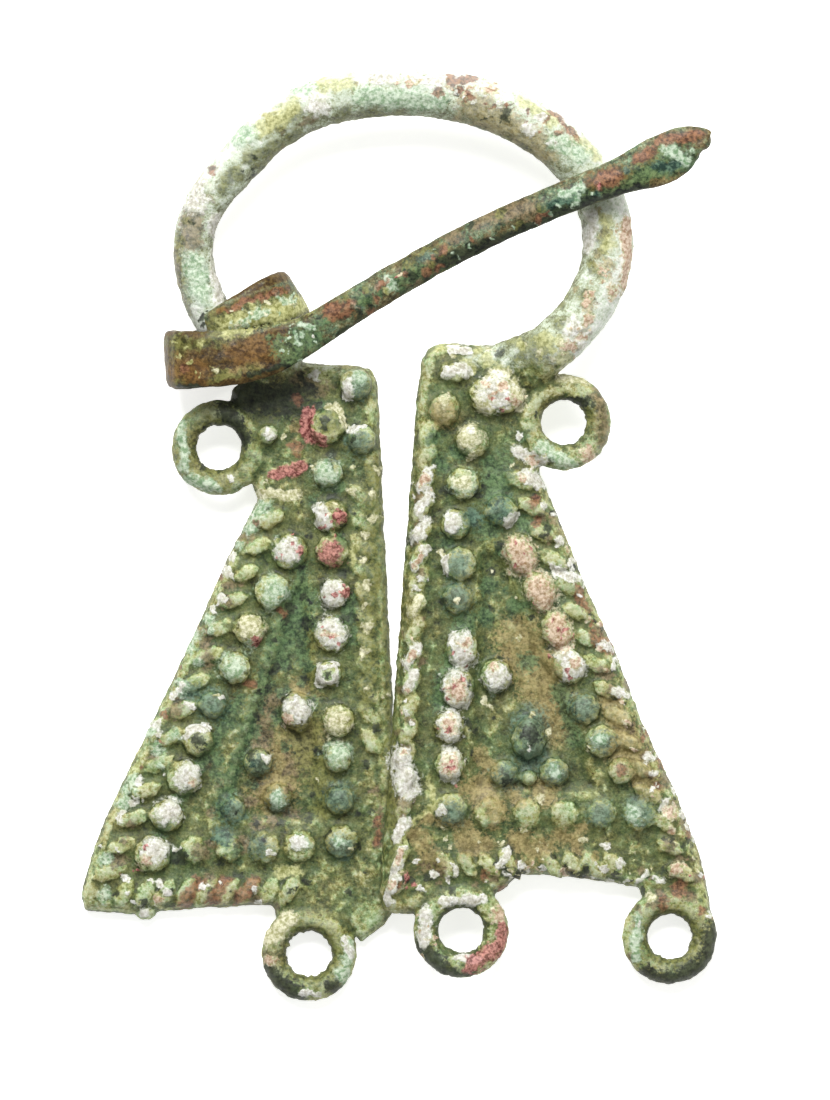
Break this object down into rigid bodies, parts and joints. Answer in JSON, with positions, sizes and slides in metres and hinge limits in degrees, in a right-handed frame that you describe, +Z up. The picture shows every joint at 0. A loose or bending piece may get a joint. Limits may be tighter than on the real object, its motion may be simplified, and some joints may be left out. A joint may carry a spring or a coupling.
{
  "type": "penannular brooch",
  "caption": "Archaeological penannular brooch: oval rod hoop with long flared beaded plates and cast loops, and a swinging strap-headed pin, patinated.",
  "frame": {"origin": "on the surface it lies on, under the middle of the whole brooch's bounding box", "axes": "+Z up from the surface, +Y along the brooch from the plates' loops to the top of the hoop, +X to the right as seen from above with the hoop away from the viewer"},
  "size_m": [0.0422, 0.0618, 0.0076],
  "materials": {
    "patinated_casting": "corroded cast bronze, crusted mint, olive and white patina with earth",
    "patinated_pin": "corroded wrought bronze, brown and grey-green patina"
  },
  "bodies": {
    "hoop": {"hoop": "patinated_casting"},
    "pin": {"pin": "patinated_pin"}
  },
  "joints": [
    {"name": "pin_swing", "type": "hinge", "parent": "hoop", "child": "pin", "pos_m": [-0.01085, 0.01282, 0.00314], "axis": [0.7705, -0.6371, -0.0233], "range_deg": [0, 50]}
  ]
}
